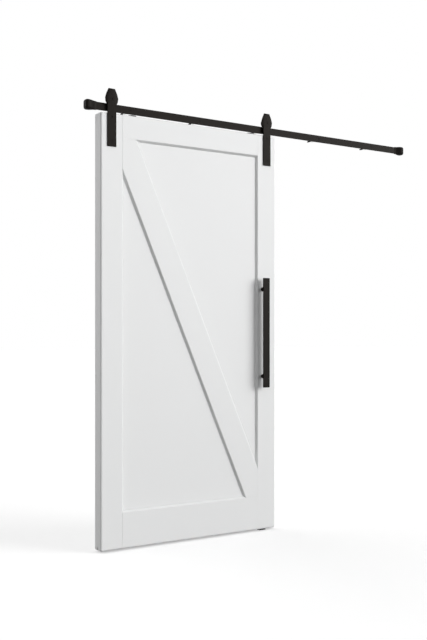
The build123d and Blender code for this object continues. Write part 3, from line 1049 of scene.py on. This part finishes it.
def wheel_profile(wheel, bearing):
    """Profile of a grooved wheel from its middle: dished faces, flanges, groove and the bearing's seat."""
    half = wheel.size.y / 2
    flange = wheel.size.x / 2
    seat = bearing.size.x / 2
    seat_half = bearing.size.y / 2
    return [
        (seat - WHEEL_LIP, half),
        (seat + HUB_LAND, half),
        (seat + HUB_SLOPE, half - WHEEL_DISH),
        (flange - RIM_SLOPE, half - WHEEL_DISH),
        (flange - RIM_LAND, half),
        (flange, half),
        (flange, half - FLANGE_TIP),
        (WHEEL_GROOVE, WHEEL_GROOVE_WIDTH / 2),
        (WHEEL_GROOVE, -WHEEL_GROOVE_WIDTH / 2),
        (flange, FLANGE_TIP - half),
        (flange, -half),
        (flange - RIM_LAND, -half),
        (flange - RIM_SLOPE, WHEEL_DISH - half),
        (seat + HUB_SLOPE, WHEEL_DISH - half),
        (seat + HUB_LAND, -half),
        (seat, -half),
        (seat, seat_half),
        (seat - WHEEL_LIP, seat_half),
    ]


def shield_profile(outer, inner):
    """Profile of a pressed shield, its outer face at level 0."""
    middle = (outer + inner) / 2
    return [
        (inner, -0.15),
        (inner + 0.5, -0.15),
        (middle - 0.3, -0.05),
        (middle, -0.2),
        (middle + 0.3, 0),
        (outer, 0),
        (outer, -0.5),
        (inner, -0.6),
    ]


class BARN_OT_discs(bpy.types.Operator):
    """Turn the discs on the leaf's top edge, with their screws"""

    bl_idname = "barn.discs"
    bl_label = "Anti-jump discs"

    def execute(self, context):
        edge = context.scene.door_hardware.metal_edge / MM
        screws = Span("anti_jump_screws")
        head = screws.size.y / 2
        placed = []
        for side in SIDES:
            disc = Span(f"{side}_anti_jump_disc")
            rim = disc.size.x / 2
            profile = [
                (DISC_SCREW + PLAY, 0),
                (rim, 0),
                (rim, disc.size.z - DISC_CHAMFER),
                (rim - DISC_CHAMFER, disc.size.z),
                (head + PLAY, disc.size.z),
                (DISC_SCREW + PLAY, disc.size.z + DISC_SCREW - head),
            ]
            foot = Vector((disc.middle.x, disc.middle.y, disc.low.z))
            settle(
                f"{side}_turned_disc",
                gather([(ease(turned(profile), edge), facing(UP, foot))]),
                f"{side}_anti_jump_disc",
            )
            screw = flat_head(DISC_SCREW, head, screws.size.z, cross(*DISC_CROSS), DISC_CROSS_DEPTH)
            top = Vector((disc.middle.x, disc.middle.y, disc.high.z))
            placed.append((screw, facing(UP, top)))
        settle("disc_screws", gather(placed), "anti_jump_screws")
        return {"FINISHED"}


class BARN_OT_pull(bpy.types.Operator):
    """Ease the handle's bar, and turn its posts and screws"""

    bl_idname = "barn.pull"
    bl_label = "Pull handle"

    def execute(self, context):
        edge = context.scene.door_hardware.metal_edge / MM
        settle("eased_pull_bar", ease(copied("pull_bar"), edge), "pull_bar")
        screws = Span("pull_screws")
        head = screws.size.x / 2
        bore = PULL_SCREW + PLAY
        placed = []
        for name in ("upper", "lower"):
            post = Span(f"{name}_pull_post")
            x = post.middle.x
            z = post.middle.z
            foot = post.size.x / 2
            reach = post.size.y
            profile = [
                (0, POST_BORE),
                (bore, POST_BORE),
                (bore, 0),
                (foot, 0),
                (foot, 2.2),
                (foot - 0.9, 3.4),
                (POST + 0.8, 4.4),
                (POST, 5.6),
                (POST, reach - SPIGOT_LENGTH),
                (SPIGOT, reach - SPIGOT_LENGTH),
                (SPIGOT, reach),
                (0, reach),
            ]
            form = turned(profile, ring=False)
            settle(
                f"{name}_turned_post",
                gather([(form, facing(TO_ROOM, Vector((x, post.high.y, z))))]),
                f"{name}_pull_post",
            )
            screw = flat_head(PULL_SCREW, head, screws.size.y, cross(*PULL_CROSS), PULL_CROSS_DEPTH)
            placed.append((screw, facing(TO_WALL, Vector((x, screws.high.y, z)))))
        settle("crossed_pull_screws", gather(placed), "pull_screws")
        return {"FINISHED"}


class BARN_OT_guide(bpy.types.Operator):
    """Ease the edges of the floor guide"""

    bl_idname = "barn.guide"
    bl_label = "Floor guide"

    def execute(self, context):
        edge = context.scene.door_hardware.metal_edge / MM
        settle("eased_floor_guide", ease(copied("floor_guide"), edge), "floor_guide")
        return {"FINISHED"}


class BARN_OT_stage(bpy.types.Operator):
    """Build the floor, the lights and the camera"""

    bl_idname = "barn.stage"
    bl_label = "Stage"

    def execute(self, context):
        wish = context.scene.door_stage
        floor_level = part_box("floor_guide")[0].z
        place_floor(floor_level)
        place_lights(wish)
        place_world(wish)
        place_camera(context.scene, wish)
        return {"FINISHED"}


def place_floor(level):
    """A pale floor that runs out of sight: white to the camera, apart from the door's shadow."""
    mesh = bmesh.new()
    bmesh.ops.create_grid(mesh, x_segments=1, y_segments=1, size=FLOOR_REACH)
    bmesh.ops.translate(mesh, verts=mesh.verts, vec=(0, 0, level - FLOOR_GAP))
    floor = new_object("floor", mesh)
    finish = Finish("pale_floor")
    seen = finish.seen_directly()
    finish.surface({
        "Base Color": finish.tint(seen, FLOOR_BOUNCE, FLOOR_SEEN),
        "Roughness": 0.9,
        "Specular IOR Level": 0.0,
        "Emission Color": WHITE,
        "Emission Strength": FLOOR_GLOW * seen,
    })
    floor.data.materials.append(finish.material)


def place_lights(wish):
    """A broad light from the right, and a very broad one from behind for the leaf's back and left side."""
    hang_sun("main", wish.sun, wish.sun_turn, wish.sun_rise, wish.sun_spread)
    hang_sun("back", wish.back, wish.back_turn, wish.back_rise, wish.back_spread)


def hang_sun(name, strength, turn, rise, spread):
    """A far light by how far it stands to the right of straight in front, and above level."""
    sun = bpy.data.lights.new(name, "SUN")
    sun.energy = strength
    sun.angle = spread
    level = math.cos(rise)
    towards = Vector((math.sin(turn) * level, -math.cos(turn) * level, math.sin(rise)))
    holder = bpy.data.objects.new(name, sun)
    holder.location = SUN_REACH * towards
    holder.rotation_euler = towards.to_track_quat("Z", "Y").to_euler()
    bpy.context.scene.collection.objects.link(holder)


def place_world(wish):
    """Even light from all round, seen as white by the camera, in gloss and through glass."""
    world = bpy.data.worlds.new("studio")
    bpy.context.scene.world = world
    world.use_nodes = True
    nodes = Nodes(world.node_tree)
    glow = nodes.add("ShaderNodeBackground", {"Color": WHITE, "Strength": wish.sky})
    white = nodes.add("ShaderNodeBackground", {"Color": WHITE, "Strength": 1.0})
    shown = nodes.add("ShaderNodeMixShader", {0: nodes.seen_directly(), 1: glow, 2: white})
    nodes.add("ShaderNodeOutputWorld", {"Surface": shown})


def place_camera(scene, wish):
    """The camera at the photograph's angle."""
    camera = bpy.data.cameras.new("camera")
    camera.lens = wish.lens
    camera.sensor_width = 36
    camera.shift_y = wish.horizon_drop
    camera.clip_start = 0.05
    camera.clip_end = 200
    holder = bpy.data.objects.new("camera", camera)
    holder.location = wish.camera_place
    holder.rotation_euler = (math.pi / 2, 0, -wish.camera_turn)
    scene.collection.objects.link(holder)
    scene.camera = holder


class BARN_PT_panel(bpy.types.Panel):
    """Lists the steps that dress the door"""

    bl_label = "Barn Door"
    bl_idname = "BARN_PT_panel"
    bl_space_type = "VIEW_3D"
    bl_region_type = "UI"
    bl_category = "Barn Door"

    def draw(self, context):
        for group in GROUPS:
            box = self.layout.box()
            wish = getattr(context.scene, group)
            for name in wish.bl_rna.properties.keys():
                if name not in ("name", "rna_type"):
                    box.prop(wish, name)
        for step in STEPS:
            self.layout.operator(step.bl_idname)


GROUPS = {
    "door_paint": DoorPaint,
    "door_metal": DoorMetal,
    "door_hardware": DoorHardware,
    "door_stage": DoorStage,
}
STEPS = (
    BARN_OT_finishes,
    BARN_OT_end_stops,
    BARN_OT_fixings,
    BARN_OT_hangers,
    BARN_OT_wheels,
    BARN_OT_discs,
    BARN_OT_pull,
    BARN_OT_guide,
    BARN_OT_stage,
)


def register():
    for name, group in GROUPS.items():
        bpy.utils.register_class(group)
        setattr(bpy.types.Scene, name, bpy.props.PointerProperty(type=group))
    for step in (*STEPS, BARN_PT_panel):
        bpy.utils.register_class(step)


def unregister():
    for step in (BARN_PT_panel, *reversed(STEPS)):
        bpy.utils.unregister_class(step)
    for name, group in GROUPS.items():
        delattr(bpy.types.Scene, name)
        bpy.utils.unregister_class(group)


def main():
    """Dresses the door step by step."""
    register()
    scene = bpy.context.scene
    scene.view_settings.view_transform = "Standard"
    bpy.ops.barn.finishes()
    bpy.ops.barn.end_stops()
    bpy.ops.barn.fixings()
    bpy.ops.barn.hangers()
    bpy.ops.barn.wheels()
    bpy.ops.barn.discs()
    bpy.ops.barn.pull()
    bpy.ops.barn.guide()
    bpy.ops.barn.stage()


if __name__ == "__main__":
    main()
